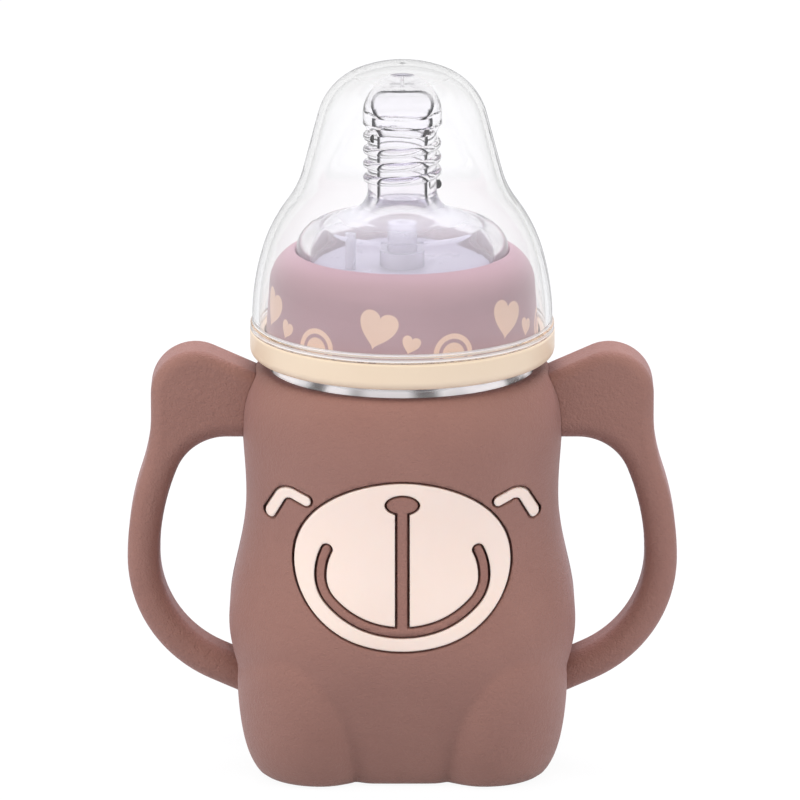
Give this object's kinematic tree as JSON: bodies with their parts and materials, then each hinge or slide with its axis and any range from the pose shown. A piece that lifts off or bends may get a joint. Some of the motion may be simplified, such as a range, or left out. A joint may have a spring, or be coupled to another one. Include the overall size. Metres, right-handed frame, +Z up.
{
  "type": "baby bottle",
  "caption": "Wide-neck glass baby bottle in a brown bear-shaped silicone sleeve with loop handles, a screw collar, a spiral-neck nipple, a weighted straw and a clear dome cap.",
  "frame": {"origin": "under the middle of the sleeve's base, on the surface that the bottle stands on", "axes": "+Z up along the bottle's axis, the bear's face looks along -Y, handles along X"},
  "size_m": [0.1196, 0.0729, 0.1545],
  "materials": {
    "brown_silicone": "matte silicone with a fine grain",
    "cream_silicone": "matte silicone",
    "clear_glass": "clear polished glass",
    "mauve_plastic": "satin plastic with a cream print",
    "cream_plastic": "satin plastic",
    "clear_silicone": "clear silicone",
    "frosted_plastic": "translucent plastic",
    "steel": "turned stainless steel",
    "clear_plastic": "clear polished plastic"
  },
  "bodies": {
    "sleeve": {"silicone_sleeve": "brown_silicone", "left_handle": "brown_silicone", "right_handle": "brown_silicone", "muzzle_inlay": "cream_silicone", "left_eye_inlay": "cream_silicone", "right_eye_inlay": "cream_silicone"},
    "bottle": {"glass_bottle": "clear_glass"},
    "nipple_set": {"nipple": "clear_silicone", "straw_adapter": "frosted_plastic"},
    "straw": {"straw_tube": "clear_silicone", "weight_cap": "frosted_plastic", "weight_ring": "steel", "weight_base": "frosted_plastic"},
    "collar": {"screw_ring": "mauve_plastic", "trim_ring": "cream_plastic"},
    "dome": {"dome_cap": "clear_plastic"}
  },
  "joints": [
    {"name": "bottle_slide", "type": "slide", "parent": "sleeve", "child": "bottle", "axis": [0, 0, 1], "range_m": [0, 0.095]},
    {"name": "nipple_rise", "type": "slide", "parent": "bottle", "child": "nipple_set", "axis": [0, 0, 1], "range_m": [0, 0.00625]},
    {"name": "collar_turn", "type": "hinge", "parent": "nipple_set", "child": "collar", "pos_m": [0, 0, 0.1], "axis": [0, 0, 1], "range_deg": [0, 450]},
    {"name": "dome_lift", "type": "slide", "parent": "collar", "child": "dome", "axis": [0, 0, 1], "range_m": [0, 0.07]},
    {"name": "straw_swing", "type": "hinge", "parent": "nipple_set", "child": "straw", "pos_m": [0, 0, 0.0979], "axis": [0, 1, 0], "range_deg": [-9, 9], "deforming": ["straw_tube"]}
  ],
  "couplings": [
    {"joint": "nipple_rise", "follows": "collar_turn", "m_per_rad": 0.00079577}
  ]
}
